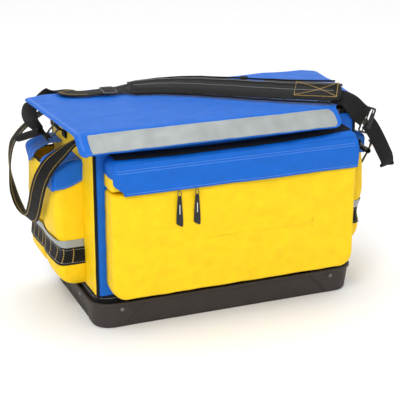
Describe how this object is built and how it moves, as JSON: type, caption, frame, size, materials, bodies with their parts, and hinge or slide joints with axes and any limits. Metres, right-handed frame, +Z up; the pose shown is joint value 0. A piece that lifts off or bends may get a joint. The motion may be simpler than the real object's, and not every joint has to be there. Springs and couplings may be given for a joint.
{
  "type": "responder kit bag",
  "caption": "Soft-sided emergency responder kit bag in blue and yellow fabric on a moulded dark base, with flapped pockets, reflective tape, carry handles and a padded shoulder strap.",
  "frame": {"origin": "Middle of the flat underside of the moulded base, where it rests on the ground.", "axes": "X runs along the length of the bag, -Y faces the front pocket, +Z is up."},
  "size_m": [0.8984, 0.4453, 0.5197],
  "materials": {
    "moulded_base": "matt pebbled moulding",
    "rivet_metal": "satin",
    "board": "matt sheet",
    "reflective_tape": "silver retroreflective tape",
    "blue_fabric": "coated woven fabric, slight sheen",
    "yellow_fabric": "coated woven fabric, slight sheen",
    "zip_hardware": "coarse moulded teeth",
    "rubber_black": "matt",
    "buckle_metal": "dark semi-gloss",
    "buckle_plastic": "satin acetal",
    "pad_fabric": "woven over foam",
    "black_webbing": "woven with gold stitching"
  },
  "bodies": {
    "bag": {"back_gusset": "blue_fabric", "back_panel": "blue_fabric", "base_board": "board", "base_skirt": "black_webbing", "base_tray": "moulded_base", "corner_piping": "black_webbing", "d_ring_anchor_left": "black_webbing", "d_ring_anchor_right": "black_webbing", "front_panel": "blue_fabric", "front_pocket_gusset": "yellow_fabric", "front_pocket_panel": "yellow_fabric", "front_pocket_yoke": "blue_fabric", "front_zip_chain": "zip_hardware", "front_zip_tape": "black_webbing", "handle_anchors": "black_webbing", "left_front_pocket": "yellow_fabric", "left_panel": "yellow_fabric", "left_rear_pocket": "yellow_fabric", "left_reflective_band": "reflective_tape", "left_webbing_band": "black_webbing", "main_zip_chain": "zip_hardware", "main_zip_tape": "black_webbing", "right_front_pocket": "yellow_fabric", "right_panel": "yellow_fabric", "right_rear_pocket": "yellow_fabric", "right_reflective_band": "reflective_tape", "right_webbing_band": "black_webbing", "strap_drop_left": "black_webbing", "strap_drop_right": "black_webbing", "tray_rivets": "rivet_metal"},
    "lid": {"lid_panel": "blue_fabric", "lid_stiffener": "board", "lid_front_strip": "blue_fabric", "lid_reflective_tape": "reflective_tape", "lid_zip_tape": "black_webbing", "strap_webbing_left": "black_webbing", "strap_pad": "pad_fabric", "pad_keeper": "black_webbing", "strap_webbing_right": "black_webbing", "ladder_lock": "buckle_plastic"},
    "tri_glide": {"tri_glide": "buckle_metal"},
    "front_flap": {"front_pocket_flap": "blue_fabric"},
    "left_front_flap": {"left_front_flap": "blue_fabric"},
    "left_rear_flap": {"left_rear_flap": "blue_fabric"},
    "front_slider_left": {"front_zip_slider_left": "zip_hardware"},
    "front_pull_left": {"front_zip_pull_left": "rubber_black"},
    "handle_left": {"carry_handle_left": "black_webbing"},
    "ring_left": {"d_ring_left": "buckle_metal", "strap_end_left": "black_webbing"},
    "right_front_flap": {"right_front_flap": "blue_fabric"},
    "right_rear_flap": {"right_rear_flap": "blue_fabric"},
    "front_slider_right": {"front_zip_slider_right": "zip_hardware"},
    "front_pull_right": {"front_zip_pull_right": "rubber_black"},
    "handle_right": {"carry_handle_right": "black_webbing"},
    "ring_right": {"d_ring_right": "buckle_metal", "strap_end_right": "black_webbing"},
    "main_slider": {"main_zip_slider": "zip_hardware"},
    "main_pull": {"main_zip_pull": "rubber_black"}
  },
  "joints": [
    {"name": "lid_hinge", "type": "hinge", "parent": "bag", "child": "lid", "pos_m": [0, 0.171, 0.462], "axis": [-1, 0, 0], "range_deg": [0, 90]},
    {"name": "tri_glide_slide", "type": "slide", "parent": "lid", "child": "tri_glide", "axis": [1, 0, 0], "range_m": [-0.02, 0.012]},
    {"name": "front_flap_hinge", "type": "hinge", "parent": "bag", "child": "front_flap", "pos_m": [0, -0.2304, 0.408], "axis": [-1, 0, 0], "range_deg": [0, 95]},
    {"name": "left_front_flap_hinge", "type": "hinge", "parent": "bag", "child": "left_front_flap", "pos_m": [-0.327, -0.036, 0.389], "axis": [0, 1, 0], "range_deg": [0, 60]},
    {"name": "left_rear_flap_hinge", "type": "hinge", "parent": "bag", "child": "left_rear_flap", "pos_m": [-0.327, 0.11, 0.389], "axis": [0, 1, 0], "range_deg": [0, 60]},
    {"name": "handle_left_swing", "type": "hinge", "parent": "bag", "child": "handle_left", "pos_m": [-0.336, 0.03, 0.438], "axis": [0, 1, 0], "range_deg": [0, 40]},
    {"name": "ring_left_swing", "type": "hinge", "parent": "bag", "child": "ring_left", "pos_m": [-0.346, 0.041, 0.434], "axis": [0, 1, 0], "range_deg": [0, 12]},
    {"name": "right_front_flap_hinge", "type": "hinge", "parent": "bag", "child": "right_front_flap", "pos_m": [0.327, -0.036, 0.389], "axis": [0, -1, 0], "range_deg": [0, 60]},
    {"name": "right_rear_flap_hinge", "type": "hinge", "parent": "bag", "child": "right_rear_flap", "pos_m": [0.327, 0.11, 0.389], "axis": [0, -1, 0], "range_deg": [0, 60]},
    {"name": "handle_right_swing", "type": "hinge", "parent": "bag", "child": "handle_right", "pos_m": [0.336, 0.03, 0.438], "axis": [0, -1, 0], "range_deg": [0, 40]},
    {"name": "ring_right_swing", "type": "hinge", "parent": "bag", "child": "ring_right", "pos_m": [0.346, -0.144, 0.372], "axis": [0, -1, 0], "range_deg": [0, 12]},
    {"name": "front_zip_left_slide", "type": "slide", "parent": "bag", "child": "front_slider_left", "axis": [-1, 0, 0], "range_m": [0, 0.13]},
    {"name": "front_zip_right_slide", "type": "slide", "parent": "bag", "child": "front_slider_right", "axis": [1, 0, 0], "range_m": [0, 0.37]},
    {"name": "main_zip_slide", "type": "slide", "parent": "bag", "child": "main_slider", "axis": [-1, 0, 0], "range_m": [0, 0.54]},
    {"name": "front_pull_left_swing", "type": "hinge", "parent": "front_slider_left", "child": "front_pull_left", "pos_m": [-0.147, -0.2325, 0.3355], "axis": [-1, 0, 0], "range_deg": [0, 80]},
    {"name": "front_pull_right_swing", "type": "hinge", "parent": "front_slider_right", "child": "front_pull_right", "pos_m": [-0.105, -0.2325, 0.3355], "axis": [-1, 0, 0], "range_deg": [0, 80]},
    {"name": "main_pull_swing", "type": "hinge", "parent": "main_slider", "child": "main_pull", "pos_m": [0.272, -0.1748, 0.4537], "axis": [-1, 0, 0], "range_deg": [0, 35]}
  ]
}
